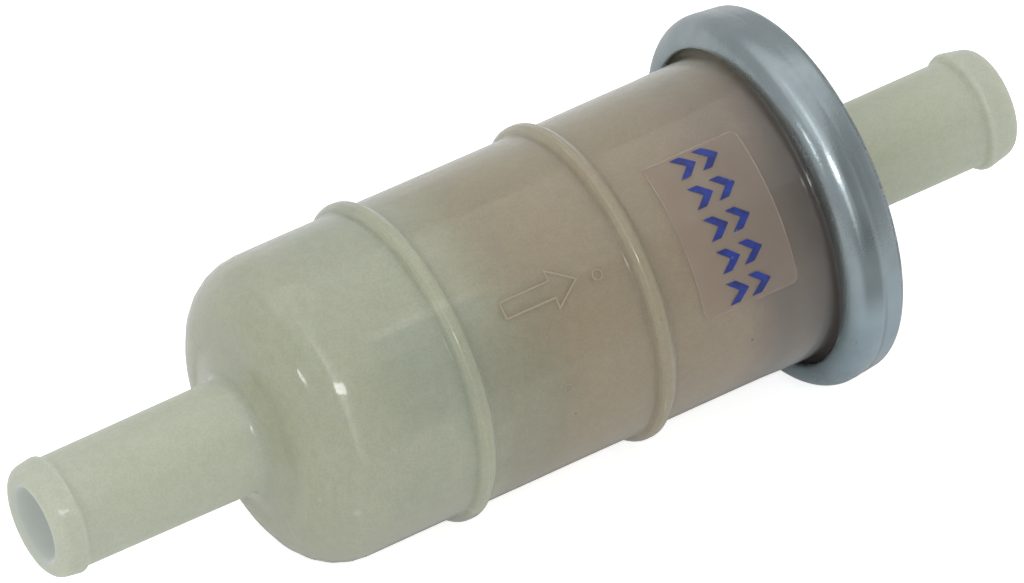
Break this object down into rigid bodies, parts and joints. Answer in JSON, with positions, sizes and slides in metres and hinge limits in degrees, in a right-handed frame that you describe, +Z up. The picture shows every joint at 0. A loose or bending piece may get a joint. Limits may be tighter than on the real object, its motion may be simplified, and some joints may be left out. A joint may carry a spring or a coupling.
{
  "type": "in-line fuel filter",
  "caption": "Barbed in-line fuel filter: translucent nylon canister with a domed inlet end, rolled steel clamping ring, nylon outlet cover and a pleated paper element inside.",
  "frame": {"origin": "on the flow axis, at the middle of the overall length", "axes": "+X along the flow axis from the inlet to the outlet, +Z up; the flow arrow and the label face up and towards -Y"},
  "size_m": [0.0966, 0.0346, 0.0346],
  "materials": {
    "nylon": "satin translucent moulded nylon",
    "zinc_steel": "rolled, zinc-plated, satin",
    "seal_rubber": "matte",
    "filter_paper": "resin-cured pleated paper",
    "inner_plastic": "plain moulded",
    "adhesive": "cured adhesive",
    "label_film": "clear film, glossy"
  },
  "bodies": {
    "root": {"body_shell": "nylon", "outlet_cover": "nylon", "crimp_ring": "zinc_steel", "flange_seal": "seal_rubber", "neck_seal": "seal_rubber", "filter_paper": "filter_paper", "support_core": "inner_plastic", "closed_end_cap": "inner_plastic", "open_end_cap": "inner_plastic", "closed_end_glue": "adhesive", "open_end_glue": "adhesive", "label_film": "label_film"}
  },
  "joints": []
}
